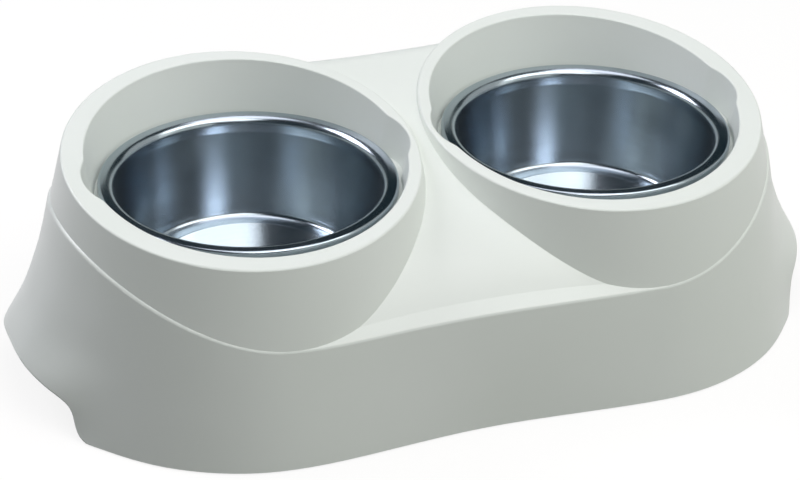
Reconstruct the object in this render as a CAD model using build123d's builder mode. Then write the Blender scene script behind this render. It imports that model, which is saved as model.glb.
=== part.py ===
from build123d import *
from math import cos, pi, radians, sin, sqrt, tan
import os

os.makedirs("parts", exist_ok=True)

# Layout in millimetres: X is the long axis, the front faces -Y, the floor is Z = 0
bowl_half_gap = 15.5  # from the middle plane to a bowl's rim
bowl_y = -5.5  # the bowls stand forward of the collars
collar_shift = 2.5  # the collars' axes lie this far outside the bowls' axes
lobe_shift = 2.0  # and so do the axes of the base's round lobes

# Moulded wall of the stand
wall = 2.8
floor_gap = 0.8  # the lower edge stays this far off the floor
overrun = 30.0  # how far a cutting shape runs past what it cuts

# Bowls: pressed sheet with a rolled rim that ends in a flat hem
sheet = 0.8
bowl_rim_radius = 70.0
bowl_rim_width = 6.0  # from the rim's outer face to the mouth
bowl_rim_depth = 6.0  # from the rim's top to the hem
bowl_depth = 50.5
jog_drop = 8.4  # the wall steps in at this depth
jog_rise = 0.8
jog_width = 0.6
jog_rounding = 1.2
wall_lean = 9.0  # the wall draws in by this much down to the floor
bowl_corner = 4.5
disc_margin = 8.7  # floor around the raised disc, with the corner
disc_rise = 1.0
disc_slope = 1.6
disc_rounding = 1.2
rim_fall = 0.6  # the rim's top falls outwards
rim_inner_rounding = 2.6
rim_outer_rounding = 1.4
hem_rounding = 1.2
hem_width = 3.6

# Wells: the tapered seats that the bowls hang in, with a finger recess at each side
seat_depth = 17.8  # under the rim plane at Y = 0
well_clearance = 1.6  # around the bowl's rim, at the seat
well_draft = 11.9
seat_clearance = 0.8  # around the bowl's wall
seat_hem = 6.0
recess_radius = 22.0
finger_gap = 5.0  # between the bowl's rim and the recess, at the seat
recess_blend = 12.0
well_rounding = 0.8

# Collars: cones that stand on the ledge and end in the tilted rim plane
rim_tilt = 9.75
rim_height = 108.8  # at Y = 0
rim_width = 11.8  # from the well at its seat to the collar at the rim plane
collar_height = 19.8  # from the ledge to the rim plane, at Y = 0
collar_sink = 38.0  # how far the cone runs on down inside the skirt
collar_flare = 12.9
collar_rounding = 1.2

# Ledge at the top of the skirt: an arch over the depth, highest at the middle
ledge_width = 1.6
ledge_spread = 48.0  # how much flatter the arch is than the base is round
ledge_rounding = 1.8

# Skirt: two round lobes with a shallow waist, drawn in towards the top
skirt_draft = 11.1
skirt_spare = 36.0  # the skirt's shape runs on this far over the ledge before it is cut
skirt_sections = 10
lobe_step = 10
waist_depth = 4.8
waist_drop = 14.0  # the waist has run out this far under the ledge

# Hand grips: the skirt flares out to a lip at each end, over an arch in the wall
lip_reach = 12.8
lip_height = 24.5
flare_drop = 1.0  # the flare starts this far under the ledge
lip_full_angle = 6
lip_end_angle = 38
lip_power = 2  # how sharply the flare turns out, in the middle and more at its edges
lip_power_gain = 3.5
grip_arch = ((55.5, 0.0), (49.0, 6.5), (45.6, 15.0), (37.5, 20.0), (0.0, 26.6))  # half widths and heights
lip_rounding = 1.2

# Deck: the saddle between the collars, a little under the rim plane
deck_step = 1.2
deck_end_inset = 8.0  # its ends stop this far short of the collars' axes
deck_inset = 15.5  # from the base's edge to the deck's edge, in the middle
deck_side_inset = 10.5  # and at its ends
deck_leave = 45.0  # in front of this place the deck falls away from the rim plane
deck_bend = -52.0  # and from here it rolls down to the ledge
deck_sag = 12.9  # how far it lies under the rim plane at the bend
deck_back_run = 25.0  # how far the back leans
deck_back_rounding = 12.0
deck_sink = 1.5  # the deck's edges are buried this far under the ledge
deck_body = 60.0  # from the crest of the ledge down to the deck's foot, inside the skirt

# Feet: rubber plugs in bosses at the four corners of the base
foot_angle = 55
foot_inset = 13.0  # from the base's edge to the foot's axis
foot_pad_radius = 7.0
foot_pad_height = 2.6
foot_rounding = 0.9
foot_stem_radius = 3.6
foot_stem_height = 8.0
boss_radius = 8.0
boss_height = 34.0
bore_clearance = 0.2
bore_depth = 11.0

# Slopes and directions
skirt_slope = tan(radians(skirt_draft))
tilt_slope = tan(radians(rim_tilt))
collar_slope = tan(radians(collar_flare))
well_slope = tan(radians(well_draft))
tilt_cos = cos(radians(rim_tilt))
tilt_sin = sin(radians(rim_tilt))
rim_normal = (0, -tilt_sin, tilt_cos)
upright = (Align.CENTER, Align.CENTER, Align.MIN)
sides = {"left": -1, "right": 1}
ends = {"front": -1, "back": 1}

# Heights, from the rim plane down
seat_height = rim_height - seat_depth
ledge_height = rim_height - collar_height
bowl_rim_top = seat_height + bowl_rim_depth
bowl_floor = bowl_rim_top - bowl_depth
jog_height = bowl_rim_top - jog_drop
skirt_top = ledge_height + skirt_spare
waist_top = ledge_height - waist_drop
flare_top = ledge_height - flare_drop
deck_foot = ledge_height - deck_body
collar_foot = ledge_height - collar_sink

# Radii and places, from the bowls outwards
bowl_mouth_radius = bowl_rim_radius - bowl_rim_width
bowl_wall_radius = bowl_mouth_radius - jog_width
bowl_floor_radius = bowl_wall_radius - wall_lean
disc_radius = bowl_floor_radius - disc_margin
well_radius = bowl_rim_radius + well_clearance
recess_reach = bowl_rim_radius + finger_gap
seat_hole_radius = bowl_mouth_radius + sheet + seat_clearance
collar_radius = well_radius + rim_width
collar_top = rim_height + tilt_slope * collar_radius + wall
skirt_radius = collar_radius + collar_slope * collar_height + ledge_width + skirt_slope * ledge_height
ledge_radius = skirt_radius + ledge_spread
bowl_x = bowl_rim_radius + bowl_half_gap
collar_x = bowl_x + collar_shift
lobe_x = bowl_x + lobe_shift
deck_half_length = collar_x - deck_end_inset
foot_reach = skirt_radius - foot_inset
foot_places = {}
for end_name, end in ends.items():
    for side_name, side in sides.items():
        foot_x = side * (lobe_x + foot_reach * cos(radians(foot_angle)))
        foot_y = end * foot_reach * sin(radians(foot_angle))
        foot_places[f"foot_{end_name}_{side_name}"] = (foot_x, foot_y)
bowl_profile = {
    (0, bowl_floor + disc_rise): 0,
    (disc_radius, bowl_floor + disc_rise): disc_rounding,
    (disc_radius + disc_slope, bowl_floor): disc_rounding,
    (bowl_floor_radius, bowl_floor): bowl_corner,
    (bowl_wall_radius, jog_height - jog_rise): jog_rounding,
    (bowl_mouth_radius, jog_height): jog_rounding,
    (bowl_mouth_radius, bowl_rim_top): rim_inner_rounding,
    (bowl_rim_radius, bowl_rim_top - rim_fall): rim_outer_rounding,
    (bowl_rim_radius, seat_height): hem_rounding,
    (bowl_rim_radius - hem_width, seat_height): 0,
}


def lip_share(angle):
    """Share of the full lip at a plan angle from the end, in degrees."""
    run = (abs(angle) - lip_full_angle) / (lip_end_angle - lip_full_angle)
    run = min(max(run, 0), 1)
    return (1 + cos(pi * run)) / 2


def lobe_radius(height, angle):
    """Radius of the skirt's lobe at a height and a plan angle from the end."""
    flare = min(max(flare_top - height, 0) / (flare_top - lip_height), 1)
    share = lip_share(angle)
    power = lip_power + lip_power_gain * (1 - share)
    return skirt_radius - skirt_slope * height + lip_reach * share * flare**power


def skirt_outline(height, inset):
    """Points round the skirt at a height, drawn in by an inset."""
    lobe = []
    for angle in range(-90, 91, lobe_step):
        reach = lobe_radius(height, angle) - inset
        lobe.append((reach * cos(radians(angle)), reach * sin(radians(angle))))
    depth = waist_depth * max(1 - height / waist_top, 0)
    side_y = lobe[-1][1]
    middle = [(lobe_x / 2, side_y - depth / 2), (0, side_y - depth), (-lobe_x / 2, side_y - depth / 2)]
    right = [(lobe_x + x, y) for x, y in lobe]
    left = [(-x, -y) for x, y in right]
    return right + middle + left + [(-x, -y) for x, y in middle]


def ledge_at(y):
    """Height of the ledge at a place across the depth."""
    return ledge_height - ledge_radius + sqrt(ledge_radius**2 - y**2)


def skirt_form(inset, foot):
    """Solid inside the skirt's wall, cut off at the ledge."""
    side_y = skirt_radius + overrun
    ledge_end = ledge_at(side_y) - inset
    with BuildPart() as form:
        for section in range(skirt_sections + 1):
            height = foot + (skirt_top - foot) * section / skirt_sections
            with BuildSketch(Plane.XY.offset(height)):
                with BuildLine():
                    Spline(*skirt_outline(height, inset), periodic=True)
                make_face()
        loft()
        with BuildSketch(Plane.YZ):
            with BuildLine():
                ThreePointArc((-side_y, ledge_end), (0, ledge_height - inset), (side_y, ledge_end))
                Polyline((side_y, ledge_end), (side_y, skirt_top), (-side_y, skirt_top), (-side_y, ledge_end))
            make_face()
        extrude(amount=lobe_x + skirt_radius + overrun, both=True, mode=Mode.SUBTRACT)
    return form.part


def grip_outline():
    """Outline of the hand grip's arch, which spreads at its foot."""
    climb = [(-width, height) for width, height in grip_arch]
    arch = climb + [(-x, height) for x, height in climb[-2::-1]]
    foot_x, foot_z = arch[-1]
    with BuildSketch() as outline:
        with BuildLine():
            Spline(*arch)
            Polyline(arch[-1], (foot_x, foot_z - overrun), (-foot_x, foot_z - overrun), arch[0])
        make_face()
    return outline.sketch


def collar_form(side, inset):
    """Cone of one collar, cut off by the rim plane."""
    rim = Plane(origin=(0, 0, rim_height - inset / tilt_cos), x_dir=(1, 0, 0), z_dir=rim_normal)
    foot_radius = collar_radius + collar_slope * (rim_height - collar_foot) - inset
    top_radius = collar_radius + collar_slope * (rim_height - collar_top) - inset
    with BuildPart() as form:
        with Locations((side * collar_x, 0, collar_foot)):
            Cone(foot_radius, top_radius, collar_top - collar_foot, align=upright)
        split(bisect_by=rim, keep=Keep.BOTTOM)
    return form.part


def deck_form(drop):
    """Saddle between the collars, lofted over three profiles across the length."""
    top = rim_height - deck_step - drop
    with BuildPart() as form:
        for place in (-1, 0, 1):
            back = skirt_radius - deck_inset + abs(place) * (deck_inset - deck_side_inset) - drop
            back_top = back - deck_back_run
            edge_height = ledge_at(back) - deck_sink - drop
            front_end = (-back, edge_height)
            back_end = (back, edge_height)
            leave = (deck_leave, top + tilt_slope * deck_leave)
            bend = (deck_bend, rim_height - deck_sag - drop + tilt_slope * deck_bend)
            back_roll = (back_top, top + tilt_slope * back_top)
            with BuildSketch(Plane.YZ.offset(place * deck_half_length)):
                with BuildLine():
                    fall = TangentArc(leave, bend, tangent=(-tilt_cos, -tilt_sin))
                    TangentArc(bend, front_end, tangent=fall % 1)
                    FilletPolyline(leave, back_roll, back_end, radius=deck_back_rounding)
                    Polyline(back_end, (back, deck_foot), (-back, deck_foot), front_end)
                make_face()
        loft()
    return form.part


def well_form(side, growth):
    """Tapered hollow of one well with its two finger recesses, grown outwards."""
    foot = seat_height - growth
    height = collar_top - foot
    lean = well_slope * height
    drawn_in = growth - well_slope * growth
    recess_offset = recess_reach - recess_radius
    with BuildPart() as form:
        with Locations((side * bowl_x, bowl_y, foot)):
            Cone(well_radius + drawn_in, well_radius + drawn_in + lean, height, align=upright)
            with Locations((-recess_offset, 0), (recess_offset, 0)):
                Cone(recess_radius + drawn_in, recess_radius + drawn_in + lean, height, align=upright)
        corners = form.edges().filter_by(GeomType.LINE, reverse=True)
        corners = corners.filter_by(lambda edge: edge.bounding_box().size.Z > height / 2)
        fillet(corners, recess_blend + growth)
    return form.part


def finished_collar(side):
    """Collar with its well cut into it and both edges of its rim rounded."""
    with BuildPart() as form:
        add(collar_form(side, 0))
        fillet(form.edges().group_by(Axis.Z)[-1], collar_rounding)
        add(well_form(side, 0), mode=Mode.SUBTRACT)
        rim_face = form.faces().filter_by(GeomType.PLANE).sort_by(Axis.Z)[-1]
        fillet(rim_face.inner_wires()[0].edges(), well_rounding)
    return form.part


# Outer skirt, with the arches of the hand grips and the roundings along the ledge and the lips
with BuildPart() as skirt:
    add(skirt_form(0, floor_gap))
    fillet(skirt.faces().filter_by(GeomType.CYLINDER).edges(), ledge_rounding)
    for side in sides.values():
        with BuildSketch(Plane.YZ.offset(side * (lobe_x + skirt_radius - overrun))):
            add(grip_outline())
        extrude(amount=side * 2 * overrun, mode=Mode.SUBTRACT)
    grip_faces = skirt.faces().filter_by(GeomType.EXTRUSION)
    lip_edges = [face.edges().sort_by(lambda edge: abs(edge.center().X))[-1] for face in grip_faces]
    fillet(lip_edges, lip_rounding)

# Hollow inside the skirt, the collars and the deck, less the cups that form the wells
with BuildPart() as hollow:
    add(skirt_form(wall, floor_gap - overrun))
    add(deck_form(wall))
    for side in sides.values():
        add(collar_form(side, wall))
    for side in sides.values():
        add(well_form(side, wall), mode=Mode.SUBTRACT)
        with Locations((side * bowl_x, bowl_y, seat_height - wall - seat_hem)):
            Cylinder(seat_hole_radius + wall, wall + seat_hem, align=upright, mode=Mode.SUBTRACT)

# Deck, stopped inside the walls of the wells
with BuildPart() as deck:
    add(deck_form(0))
    for side in sides.values():
        add(well_form(side, wall / 2), mode=Mode.SUBTRACT)

# Bosses for the feet, kept inside the skirt's outer face
with BuildPart() as bosses:
    with Locations(*[(*place, foot_pad_height) for place in foot_places.values()]):
        Cylinder(boss_radius, boss_height, align=upright)
    add(skirt.part, mode=Mode.INTERSECT)

# Stand: one moulded shell, open underneath
with BuildPart() as stand:
    add(skirt.part)
    add(deck.part)
    for side in sides.values():
        add(finished_collar(side))
    add(hollow.part, mode=Mode.SUBTRACT)
    add(bosses.part)
    with Locations(*[(*place, foot_pad_height) for place in foot_places.values()]):
        Cylinder(foot_stem_radius + bore_clearance, bore_depth, align=upright, mode=Mode.SUBTRACT)
    for side in sides.values():
        with Locations((side * bowl_x, bowl_y, seat_height - overrun)):
            Cylinder(seat_hole_radius, 2 * overrun, align=upright, mode=Mode.SUBTRACT)
stand.part.label = "stand"
export_step(stand.part, "parts/stand.step")

# Bowls: one sheet profile turned about each bowl's axis
for side_name, side in sides.items():
    bowl_axis = Axis((side * bowl_x, bowl_y, 0), (0, 0, 1))
    with BuildPart() as bowl:
        with BuildSketch(Plane(origin=bowl_axis.position, x_dir=(1, 0, 0), z_dir=(0, -1, 0))):
            with BuildLine():
                FilletPolyline(*bowl_profile, radius=list(bowl_profile.values())[1:-1])
                offset(amount=sheet, side=Side.RIGHT)
            make_face()
        revolve(axis=bowl_axis)
    bowl.part.label = f"bowl_{side_name}"
    export_step(bowl.part, f"parts/bowl_{side_name}.step")

# Feet: a pad under the boss and a stem in its bore
for foot_name, place in foot_places.items():
    with BuildPart() as foot:
        with Locations((*place, 0)):
            Cylinder(foot_pad_radius, foot_pad_height, align=upright)
        fillet(foot.edges().group_by(Axis.Z)[0], foot_rounding)
        with Locations((*place, foot_pad_height)):
            Cylinder(foot_stem_radius, foot_stem_height, align=upright)
    foot.part.label = foot_name
    export_step(foot.part, f"parts/{foot_name}.step")
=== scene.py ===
"""Double pet bowl: the finishes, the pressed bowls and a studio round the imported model."""

import math

import bmesh
import bpy
from bpy.props import FloatProperty, FloatVectorProperty, IntProperty, PointerProperty
from mathutils import Matrix, Vector


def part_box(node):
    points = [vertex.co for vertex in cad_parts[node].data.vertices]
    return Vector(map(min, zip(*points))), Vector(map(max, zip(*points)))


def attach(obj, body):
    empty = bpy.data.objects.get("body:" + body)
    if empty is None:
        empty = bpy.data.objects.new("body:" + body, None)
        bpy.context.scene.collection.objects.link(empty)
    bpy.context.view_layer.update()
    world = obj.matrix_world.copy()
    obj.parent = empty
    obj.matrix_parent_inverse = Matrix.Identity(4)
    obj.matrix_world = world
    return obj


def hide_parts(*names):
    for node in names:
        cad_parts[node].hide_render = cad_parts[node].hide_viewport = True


bl_info = {
    "name": "Double Pet Bowl",
    "version": (1, 0, 0),
    "blender": (4, 5, 0),
    "location": "View3D > Sidebar > Pet Bowl",
    "description": "Dresses a moulded bowl stand, its steel bowls and its feet in a studio",
    "category": "Object",
}

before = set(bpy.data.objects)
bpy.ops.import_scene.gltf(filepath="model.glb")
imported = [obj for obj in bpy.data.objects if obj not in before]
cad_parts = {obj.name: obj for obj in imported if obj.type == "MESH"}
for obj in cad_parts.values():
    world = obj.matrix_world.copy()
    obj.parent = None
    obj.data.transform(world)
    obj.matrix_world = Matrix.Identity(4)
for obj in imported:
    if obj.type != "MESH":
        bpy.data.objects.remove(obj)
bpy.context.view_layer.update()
bowl_low, bowl_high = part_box("bowl_right")
MM = 0.001

# Bowl profile, with drops from the top of the rim and insets from its outside
DISC_RISE = 1.0 * MM
DISC_SLOPE = 1.6 * MM
DISC_ROUNDING = 1.2 * MM
FLOOR_INSET = 15.6 * MM
FLOOR_ROUNDING = 3.2 * MM
NECK_DROP = 7.8 * MM
NECK_ROUNDING = 6.0 * MM
RIM_ROUNDING = 1.4 * MM
HEM_DROP = 5.7 * MM
HEM_WIDTH = 3.6 * MM
HEM_ROUNDING = 1.2 * MM
ARC_SEGMENTS = 10
WELD_DISTANCE = 0.001 * MM
TURNING_MAP = "turning"

# Noise textures: scale in repeats to the metre and detail, and the span they usually keep to
PLASTIC_DRIFT = (9, 2)
PLASTIC_PATCHES = (60, 3)
PLASTIC_GRAIN = (1800, 2)
STEEL_LINES = (900, 6)
STEEL_WEAR = (45, 3)
RUBBER_SPECKLE = (700, 3)
NOISE_LOW, NOISE_HIGH = 0.3, 0.7

# Bumps: strength and depth
GRAIN_BUMP = (0.08, 0.1 * MM)
LINE_BUMP = (0.12, 0.05 * MM)
SPECKLE_BUMP = (0.25, 0.1 * MM)

# Gloss and light of the finishes
PLASTIC_SPREAD = 0.03
PLASTIC_IOR = 1.5
STEEL_ROUGHNESS = (0.15, 0.20)
WALL_SATIN = 0.045  # roughness that the walls have over the disc's
LINE_SHADE = 0.9  # tone of the turning lines against the steel's
DISC_BLUR = 0.4 * MM  # half the width of the change from disc to wall
BRUSHING = 0.6
BRUSHING_TURN = 0.25
RUBBER_ROUGHNESS = (0.62, 0.78)

# Studio
FLOOR_SEGMENTS = 96
FLOOR_TONE = (0.16, 0.157, 0.149)
FLOOR_ROUGHNESS = 0.9
FLOOR_LIFT = 0.85  # light of the floor for the eye and for reflections alone
HORIZON_TONE = (0.18, 0.20, 0.21)
ZENITH_TONE = (0.014, 0.027, 0.034)
HORIZON_HEIGHT = 0.3
LAMP_AIM = Vector((0, 0, 0.06))
LAMP_DISTANCE = 1.5

# Lamps: name, bearing from the front and height over the horizon in degrees,
# width and depth in metres, power in watts, tint
LAMPS = (
    ("top_lamp", 0, 90, 1.0, 1.0, 6.5, (0.97, 0.94, 1.0)),
    ("front_lamp", 23, 57, 1.9, 0.8, 14.1, (0.995, 0.985, 0.985)),
    ("fill_lamp", 36, 20, 1.4, 0.6, 2.0, (0.99, 1.0, 0.91)),
    ("right_lamp", 82, 34, 1.7, 1.1, 3.1, (1.0, 0.99, 0.95)),
    ("back_left_lamp", 230, 42, 0.7, 0.7, 11.5, (0.94, 0.92, 1.0)),
)


class StandFinish(bpy.types.PropertyGroup):
    """Moulded plastic of the stand."""

    tone: FloatVectorProperty(
        name="Tone",
        description="Colour of the moulded plastic",
        subtype="COLOR",
        default=(0.795, 0.835, 0.785),
    )
    shade: FloatVectorProperty(
        name="Shade",
        description="Second colour that drifts through the plastic",
        subtype="COLOR",
        default=(0.765, 0.81, 0.75),
    )
    roughness: FloatProperty(
        name="Roughness",
        description="Middle roughness of the plastic",
        subtype="FACTOR",
        default=0.34,
    )


class BowlShape(bpy.types.PropertyGroup):
    """Pressed steel bowls."""

    rim_radius: FloatProperty(
        name="Rim radius",
        description="Outside radius of the rolled rim",
        unit="LENGTH",
        default=(bowl_high.x - bowl_low.x) / 2,
    )
    rim_top: FloatProperty(
        name="Rim top",
        description="Height of the rim above the floor",
        unit="LENGTH",
        default=bowl_high.z,
    )
    rim_width: FloatProperty(
        name="Rim width",
        description="Width of the rim from its outside to the mouth",
        unit="LENGTH",
        default=7.8 * MM,
    )
    rim_bend: FloatProperty(
        name="Rim bend",
        description="Radius of the bend from the wall over to the rim",
        unit="LENGTH",
        default=4.0 * MM,
    )
    depth: FloatProperty(
        name="Depth",
        description="Depth from the rim to the floor beside the disc",
        unit="LENGTH",
        default=50.2 * MM,
    )
    sheet: FloatProperty(
        name="Sheet",
        description="Thickness of the steel",
        unit="LENGTH",
        default=0.8 * MM,
    )
    steps: IntProperty(
        name="Steps",
        description="Steps of the turned shape round its axis",
        default=160,
    )
    disc_radius: FloatProperty(
        name="Disc radius",
        description="Radius of the raised disc on the floor",
        unit="LENGTH",
        default=45.7 * MM,
    )
    tone: FloatVectorProperty(
        name="Tone",
        description="Colour of the steel",
        subtype="COLOR",
        default=(0.46, 0.525, 0.575),
    )
    # Brighter steel tone on the turned disc: a painted reflection of the lamp over the bowl,
    # laid into the disc's colour
    disc_tone_with_painted_reflection: FloatVectorProperty(
        name="Disc tone",
        description="Colour of the turned disc",
        subtype="COLOR",
        default=(0.86, 0.88, 0.90),
    )


class FootFinish(bpy.types.PropertyGroup):
    """Rubber of the feet."""

    tone: FloatVectorProperty(
        name="Tone",
        description="Colour of the rubber",
        subtype="COLOR",
        default=(0.30, 0.30, 0.29),
    )
    shade: FloatVectorProperty(
        name="Shade",
        description="Colour of the speckle in the rubber",
        subtype="COLOR",
        default=(0.26, 0.26, 0.25),
    )


class Studio(bpy.types.PropertyGroup):
    """Camera and floor."""

    azimuth: FloatProperty(
        name="Azimuth",
        description="Camera's place round the object, from the front",
        subtype="ANGLE",
        default=math.radians(-21.135),
    )
    elevation: FloatProperty(
        name="Elevation",
        description="Camera's height above the horizon",
        subtype="ANGLE",
        default=math.radians(29.352),
    )
    roll: FloatProperty(
        name="Roll",
        description="Camera's turn about its own axis",
        subtype="ANGLE",
        default=math.radians(1.364),
    )
    distance: FloatProperty(
        name="Distance",
        description="Camera's distance from its target",
        unit="LENGTH",
        default=1.25595,
    )
    target: FloatVectorProperty(
        name="Target",
        description="Point that the camera looks at",
        subtype="XYZ",
        default=(-0.009448, -0.0055, 0.05006),
    )
    lens: FloatProperty(
        name="Lens",
        description="Focal length in millimetres",
        default=117.13,
    )
    floor_radius: FloatProperty(
        name="Floor radius",
        description="Radius of the round floor",
        unit="LENGTH",
        default=6.0,
    )


def add_node(tree, kind, **settings):
    """New shader node with its settings."""
    node = tree.nodes.new(kind)
    for name, value in settings.items():
        setattr(node, name, value)
    return node


def new_material(name):
    """New node material, its tree and its principled shader."""
    material = bpy.data.materials.new(name)
    material.use_nodes = True
    return material, material.node_tree, material.node_tree.nodes["Principled BSDF"]


def add_noise(tree, vector, scale, detail):
    """Noise texture on a vector, with its grey value as output."""
    noise = add_node(tree, "ShaderNodeTexNoise")
    noise.inputs["Scale"].default_value = scale
    noise.inputs["Detail"].default_value = detail
    tree.links.new(vector, noise.inputs["Vector"])
    return noise.outputs["Fac"]


def add_range(tree, value, low, high):
    """Grey value spread from a noise's usual span to a low and a high value."""
    spread = add_node(tree, "ShaderNodeMapRange")
    spread.inputs["From Min"].default_value = NOISE_LOW
    spread.inputs["From Max"].default_value = NOISE_HIGH
    spread.inputs["To Min"].default_value = low
    spread.inputs["To Max"].default_value = high
    tree.links.new(value, spread.inputs["Value"])
    return spread.outputs["Result"]


def add_colour_drift(tree, value, first, second):
    """Colour that drifts between two tones."""
    drift = add_node(tree, "ShaderNodeMix", data_type="RGBA")
    drift.inputs["A"].default_value = (*first, 1)
    drift.inputs["B"].default_value = (*second, 1)
    tree.links.new(value, drift.inputs["Factor"])
    return drift.outputs["Result"]


def add_bump(tree, value, strength, depth):
    """Bumped normal from a grey value."""
    bump = add_node(tree, "ShaderNodeBump")
    bump.inputs["Strength"].default_value = strength
    bump.inputs["Distance"].default_value = depth
    tree.links.new(value, bump.inputs["Height"])
    return bump.outputs["Normal"]


def moulded_plastic(finish):
    """Semi-gloss plastic with the fine grain of its mould."""
    material, tree, shader = new_material("moulded_plastic")
    place = add_node(tree, "ShaderNodeTexCoord").outputs["Object"]
    broad = add_range(tree, add_noise(tree, place, *PLASTIC_DRIFT), 0, 1)
    patches = add_range(
        tree,
        add_noise(tree, place, *PLASTIC_PATCHES),
        finish.roughness - PLASTIC_SPREAD,
        finish.roughness + PLASTIC_SPREAD,
    )
    grain = add_noise(tree, place, *PLASTIC_GRAIN)
    tones = add_colour_drift(tree, broad, finish.tone, finish.shade)
    tree.links.new(tones, shader.inputs["Base Color"])
    tree.links.new(patches, shader.inputs["Roughness"])
    tree.links.new(add_bump(tree, grain, *GRAIN_BUMP), shader.inputs["Normal"])
    shader.inputs["IOR"].default_value = PLASTIC_IOR
    return material


def turning_place(tree, place, axis):
    """Distance from an upright axis, and a vector of that distance and the height."""
    centred = add_node(tree, "ShaderNodeMapping")
    centred.inputs["Location"].default_value = (-axis.x, -axis.y, 0)
    tree.links.new(place, centred.inputs["Vector"])
    flat = add_node(tree, "ShaderNodeVectorMath", operation="MULTIPLY")
    flat.inputs[1].default_value = (1, 1, 0)
    tree.links.new(centred.outputs["Vector"], flat.inputs[0])
    radius = add_node(tree, "ShaderNodeVectorMath", operation="LENGTH")
    tree.links.new(flat.outputs["Vector"], radius.inputs[0])
    split = add_node(tree, "ShaderNodeSeparateXYZ")
    tree.links.new(centred.outputs["Vector"], split.inputs["Vector"])
    turned = add_node(tree, "ShaderNodeCombineXYZ")
    tree.links.new(radius.outputs["Value"], turned.inputs["X"])
    tree.links.new(split.outputs["Z"], turned.inputs["Z"])
    return radius.outputs["Value"], turned.outputs["Vector"]


def lined_tone(tree, lines, tone):
    """Steel tone with its darker turning lines."""
    return add_colour_drift(tree, lines, tone, [LINE_SHADE * part for part in tone])


def turned_steel(name, axis, shape):
    """Satin steel with fine turning lines round an upright axis and a brighter disc, whose
    lighter tone is a painted reflection of the lamp over it.
    """
    material, tree, shader = new_material(name)
    place = add_node(tree, "ShaderNodeTexCoord").outputs["Object"]
    radius, turned = turning_place(tree, place, axis)
    lines = add_noise(tree, turned, *STEEL_LINES)
    drift = add_range(tree, lines, 0, 1)
    outside = add_node(tree, "ShaderNodeMapRange")
    outside.inputs["From Min"].default_value = shape.disc_radius - DISC_BLUR
    outside.inputs["From Max"].default_value = shape.disc_radius + DISC_BLUR
    tree.links.new(radius, outside.inputs["Value"])
    # Inside the disc's radius the steel takes the brighter disc tone, a painted reflection;
    # the same mask adds the walls' satin roughness below
    tones = add_node(tree, "ShaderNodeMix", data_type="RGBA")
    tree.links.new(outside.outputs["Result"], tones.inputs["Factor"])
    tree.links.new(lined_tone(tree, drift, shape.disc_tone_with_painted_reflection), tones.inputs["A"])
    tree.links.new(lined_tone(tree, drift, shape.tone), tones.inputs["B"])
    tree.links.new(tones.outputs["Result"], shader.inputs["Base Color"])
    worn = add_range(tree, add_noise(tree, place, *STEEL_WEAR), *STEEL_ROUGHNESS)
    satin = add_node(tree, "ShaderNodeMath", operation="MULTIPLY_ADD")
    satin.inputs[1].default_value = WALL_SATIN
    tree.links.new(outside.outputs["Result"], satin.inputs[0])
    tree.links.new(worn, satin.inputs[2])
    tree.links.new(satin.outputs["Value"], shader.inputs["Roughness"])
    tree.links.new(add_bump(tree, lines, *LINE_BUMP), shader.inputs["Normal"])
    tangent = add_node(tree, "ShaderNodeTangent", direction_type="UV_MAP", uv_map=TURNING_MAP)
    tree.links.new(tangent.outputs["Tangent"], shader.inputs["Tangent"])
    shader.inputs["Metallic"].default_value = 1
    shader.inputs["Anisotropic"].default_value = BRUSHING
    shader.inputs["Anisotropic Rotation"].default_value = BRUSHING_TURN
    return material


def foot_rubber(finish):
    """Matt speckled rubber of the feet."""
    material, tree, shader = new_material("foot_rubber")
    place = add_node(tree, "ShaderNodeTexCoord").outputs["Object"]
    speckle = add_noise(tree, place, *RUBBER_SPECKLE)
    tones = add_colour_drift(tree, add_range(tree, speckle, 0, 1), finish.tone, finish.shade)
    tree.links.new(tones, shader.inputs["Base Color"])
    matt = add_range(tree, speckle, *RUBBER_ROUGHNESS)
    tree.links.new(matt, shader.inputs["Roughness"])
    tree.links.new(add_bump(tree, speckle, *SPECKLE_BUMP), shader.inputs["Normal"])
    return material


def new_piece(name, mesh_maker, body):
    """Object at the origin from a bmesh, riding on a body."""
    mesh = bpy.data.meshes.new(name)
    mesh_maker.to_mesh(mesh)
    mesh_maker.free()
    piece = bpy.data.objects.new(name, mesh)
    bpy.context.scene.collection.objects.link(piece)
    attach(piece, body)
    return piece


def round_corner(profile, corner, radius):
    """Rounds one corner of a wire profile with an arc of a radius."""
    first, second = [edge.other_vert(corner).co - corner.co for edge in corner.link_edges]
    setback = radius / math.tan(first.angle(second) / 2)
    bmesh.ops.bevel(
        profile,
        geom=[corner],
        offset=setback,
        offset_type="OFFSET",
        segments=ARC_SEGMENTS,
        profile=0.5,
        affect="VERTICES",
        material=-1,
    )


def bowl_profile(shape, axis):
    """Wire profile of a bowl's upper side, from the axis over the rim to the hem."""
    rim, top = shape.rim_radius, shape.rim_top
    mouth = rim - shape.rim_width
    floor = top - shape.depth
    hem = top - HEM_DROP
    corners = (
        (0, floor + DISC_RISE, 0),
        (shape.disc_radius, floor + DISC_RISE, DISC_ROUNDING),
        (shape.disc_radius + DISC_SLOPE, floor, DISC_ROUNDING),
        (rim - FLOOR_INSET, floor, FLOOR_ROUNDING),
        (mouth, top - NECK_DROP, NECK_ROUNDING),
        (mouth, top, shape.rim_bend),
        (rim, top, RIM_ROUNDING),
        (rim, hem, HEM_ROUNDING),
        (rim - HEM_WIDTH, hem, 0),
    )
    profile = bmesh.new()
    row = [profile.verts.new((axis.x + reach, axis.y, z)) for reach, z, _ in corners]
    for start, end in zip(row, row[1:]):
        profile.edges.new((start, end))
    for corner, (_, _, radius) in zip(row, corners):
        if radius:
            round_corner(profile, corner, radius)
    return profile


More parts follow.
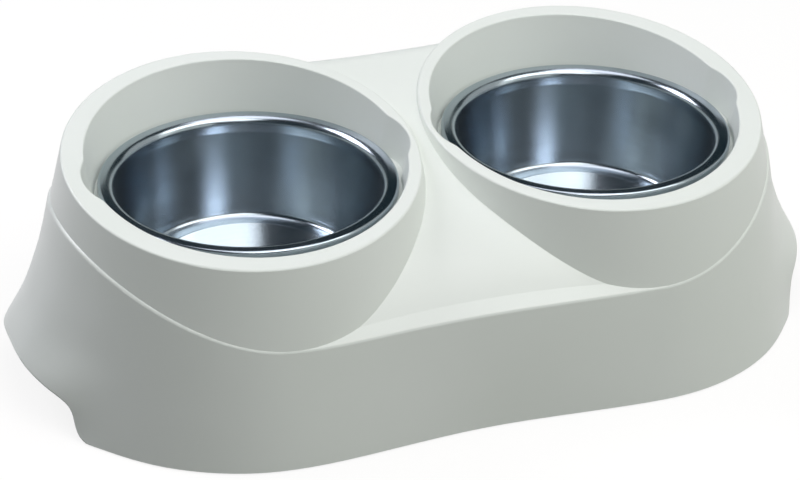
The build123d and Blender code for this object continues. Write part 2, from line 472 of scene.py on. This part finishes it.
def map_turning(bowl, axis):
    """UV map that runs round the axis and up the wall, for the direction of the lines."""
    turning = bowl.loops.layers.uv.new(TURNING_MAP)
    for face in bowl.faces:
        middle = face.calc_center_median() - axis
        for loop in face.loops:
            arm = loop.vert.co - axis
            turn = middle.xy.angle_signed(arm.xy, 0) if arm.xy.length else 0
            around = math.atan2(middle.y, middle.x) - turn
            loop[turning].uv = (around / (2 * math.pi), arm.xy.length + arm.z)


def pressed_bowl(shape, axis):
    """Sheet bowl turned about an upright axis, as a bmesh whose faces point inwards and up."""
    bowl = bowl_profile(shape, axis)
    bmesh.ops.spin(
        bowl,
        geom=bowl.verts[:] + bowl.edges[:],
        cent=axis,
        axis=(0, 0, 1),
        angle=2 * math.pi,
        steps=shape.steps,
        use_merge=True,
    )
    bmesh.ops.remove_doubles(bowl, verts=bowl.verts[:], dist=WELD_DISTANCE)
    bmesh.ops.recalc_face_normals(bowl, faces=bowl.faces[:])
    inmost = min(bowl.faces, key=lambda face: (face.calc_center_median() - axis).xy.length)
    inmost.normal_update()
    if inmost.normal.z < 0:
        bmesh.ops.reverse_faces(bowl, faces=bowl.faces[:])
    for face in bowl.faces:
        face.smooth = True
    map_turning(bowl, axis)
    return bowl


class PETBOWL_OT_stand(bpy.types.Operator):
    """Gives the moulded stand its plastic."""

    bl_idname = "petbowl.stand"
    bl_label = "Finish the Stand"

    def execute(self, context):
        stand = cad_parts["stand"]
        stand.data.materials.clear()
        stand.data.materials.append(moulded_plastic(context.scene.petbowl_stand))
        return {"FINISHED"}


class PETBOWL_OT_bowls(bpy.types.Operator):
    """Turns both steel bowls."""

    bl_idname = "petbowl.bowls"
    bl_label = "Make the Bowls"

    def execute(self, context):
        shape = context.scene.petbowl_bowls
        for side in ("left", "right"):
            low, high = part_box(f"bowl_{side}")
            axis = Vector(((low.x + high.x) / 2, (low.y + high.y) / 2, 0))
            bowl = pressed_bowl(shape, axis)
            piece = new_piece(f"steel_bowl_{side}", bowl, f"{side}_bowl")
            wall = piece.modifiers.new("sheet", "SOLIDIFY")
            wall.thickness = shape.sheet
            wall.offset = -1
            wall.use_even_offset = True
            piece.data.materials.append(turned_steel(f"turned_steel_{side}", axis, shape))
            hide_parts(f"bowl_{side}")
        return {"FINISHED"}


class PETBOWL_OT_feet(bpy.types.Operator):
    """Gives the four feet their rubber."""

    bl_idname = "petbowl.feet"
    bl_label = "Finish the Feet"

    def execute(self, context):
        rubber = foot_rubber(context.scene.petbowl_feet)
        for name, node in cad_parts.items():
            if name.startswith("foot_"):
                node.data.materials.clear()
                node.data.materials.append(rubber)
        return {"FINISHED"}


def dome_place(azimuth, elevation, distance):
    """Point over the object at a bearing from the front and a height over the horizon."""
    level = distance * math.cos(elevation)
    side, ahead = level * math.sin(azimuth), -level * math.cos(azimuth)
    return Vector((side, ahead, distance * math.sin(elevation)))


def add_lamp(name, bearing, height, width, depth, power, tint):
    """Softbox on the dome over the object, which it shines at."""
    lamp = bpy.data.lights.new(name, "AREA")
    lamp.shape = "RECTANGLE"
    lamp.size = width
    lamp.size_y = depth
    lamp.energy = power
    lamp.color = tint
    holder = bpy.data.objects.new(name, lamp)
    place = dome_place(math.radians(bearing), math.radians(height), LAMP_DISTANCE)
    holder.location = place + LAMP_AIM
    holder.rotation_euler = (-place).to_track_quat("-Z", "Y").to_euler()
    bpy.context.scene.collection.objects.link(holder)


def floor_white():
    """Floor finish that reads white to the eye and in reflections, and keeps the shadow."""
    material, tree, shader = new_material("studio_floor")
    shader.inputs["Base Color"].default_value = (*FLOOR_TONE, 1)
    shader.inputs["Roughness"].default_value = FLOOR_ROUGHNESS
    shader.inputs["Specular IOR Level"].default_value = 0
    rays = add_node(tree, "ShaderNodeLightPath")
    seen = rays.outputs["Is Camera Ray"]
    for kind in ("Is Glossy Ray", "Is Transmission Ray"):
        either = add_node(tree, "ShaderNodeMath", operation="MAXIMUM")
        tree.links.new(seen, either.inputs[0])
        tree.links.new(rays.outputs[kind], either.inputs[1])
        seen = either.outputs["Value"]
    lift = add_node(tree, "ShaderNodeMath", operation="MULTIPLY")
    lift.inputs[1].default_value = FLOOR_LIFT
    tree.links.new(seen, lift.inputs[0])
    shader.inputs["Emission Color"].default_value = (1, 1, 1, 1)
    tree.links.new(lift.outputs["Value"], shader.inputs["Emission Strength"])
    return material


def studio_floor(radius):
    """Round pale floor under the object."""
    disc = bmesh.new()
    bmesh.ops.create_circle(disc, cap_ends=True, segments=FLOOR_SEGMENTS, radius=radius)
    mesh = bpy.data.meshes.new("studio_floor")
    disc.to_mesh(mesh)
    disc.free()
    floor = bpy.data.objects.new("studio_floor", mesh)
    bpy.context.scene.collection.objects.link(floor)
    mesh.materials.append(floor_white())


def studio_room():
    """Dim room over the lamps, pale along the horizon."""
    world = bpy.data.worlds.new("studio_room")
    world.use_nodes = True
    tree = world.node_tree
    place = add_node(tree, "ShaderNodeTexCoord").outputs["Generated"]
    way = add_node(tree, "ShaderNodeSeparateXYZ")
    tree.links.new(place, way.inputs["Vector"])
    fade = add_node(tree, "ShaderNodeMapRange", interpolation_type="SMOOTHSTEP")
    fade.inputs["From Max"].default_value = HORIZON_HEIGHT
    tree.links.new(way.outputs["Z"], fade.inputs["Value"])
    tones = add_colour_drift(tree, fade.outputs["Result"], HORIZON_TONE, ZENITH_TONE)
    tree.links.new(tones, tree.nodes["Background"].inputs["Color"])
    return world


def aim_camera(studio):
    """Camera at the photograph's angle."""
    back = dome_place(studio.azimuth, studio.elevation, 1)
    level = Vector((math.cos(studio.azimuth), math.sin(studio.azimuth), 0))
    right = Matrix.Rotation(studio.roll, 3, back) @ level
    up = back.cross(right)
    lens = bpy.data.cameras.new("studio_camera")
    lens.lens = studio.lens
    camera = bpy.data.objects.new("studio_camera", lens)
    camera.matrix_world = Matrix((right, up, back)).transposed().to_4x4()
    camera.location = Vector(studio.target) + back * studio.distance
    bpy.context.scene.collection.objects.link(camera)
    bpy.context.scene.camera = camera


class PETBOWL_OT_studio(bpy.types.Operator):
    """Sets the floor, the lamps and the camera."""

    bl_idname = "petbowl.studio"
    bl_label = "Set Up the Studio"

    def execute(self, context):
        scene = context.scene
        studio = scene.petbowl_studio
        scene.view_settings.view_transform = "Standard"
        scene.world = studio_room()
        for lamp in LAMPS:
            add_lamp(*lamp)
        studio_floor(studio.floor_radius)
        aim_camera(studio)
        return {"FINISHED"}


class PETBOWL_PT_panel(bpy.types.Panel):
    """Lists the pieces of the double pet bowl."""

    bl_idname = "PETBOWL_PT_panel"
    bl_label = "Pet Bowl"
    bl_space_type = "VIEW_3D"
    bl_region_type = "UI"
    bl_category = "Pet Bowl"

    def draw(self, context):
        for maker in MAKERS:
            self.layout.operator(maker.bl_idname)


MAKERS = (PETBOWL_OT_stand, PETBOWL_OT_bowls, PETBOWL_OT_feet, PETBOWL_OT_studio)
CLASSES = (StandFinish, BowlShape, FootFinish, Studio, *MAKERS, PETBOWL_PT_panel)


def register():
    """Registers the classes and hangs their settings on the scene."""
    for cls in CLASSES:
        bpy.utils.register_class(cls)
    bpy.types.Scene.petbowl_stand = PointerProperty(type=StandFinish)
    bpy.types.Scene.petbowl_bowls = PointerProperty(type=BowlShape)
    bpy.types.Scene.petbowl_feet = PointerProperty(type=FootFinish)
    bpy.types.Scene.petbowl_studio = PointerProperty(type=Studio)


def unregister():
    """Takes the settings off the scene and the classes out."""
    del bpy.types.Scene.petbowl_studio
    del bpy.types.Scene.petbowl_feet
    del bpy.types.Scene.petbowl_bowls
    del bpy.types.Scene.petbowl_stand
    for cls in reversed(CLASSES):
        bpy.utils.unregister_class(cls)


def main():
    """Makes every piece and the studio."""
    register()
    bpy.ops.petbowl.stand()
    bpy.ops.petbowl.bowls()
    bpy.ops.petbowl.feet()
    bpy.ops.petbowl.studio()


if __name__ == "__main__":
    main()
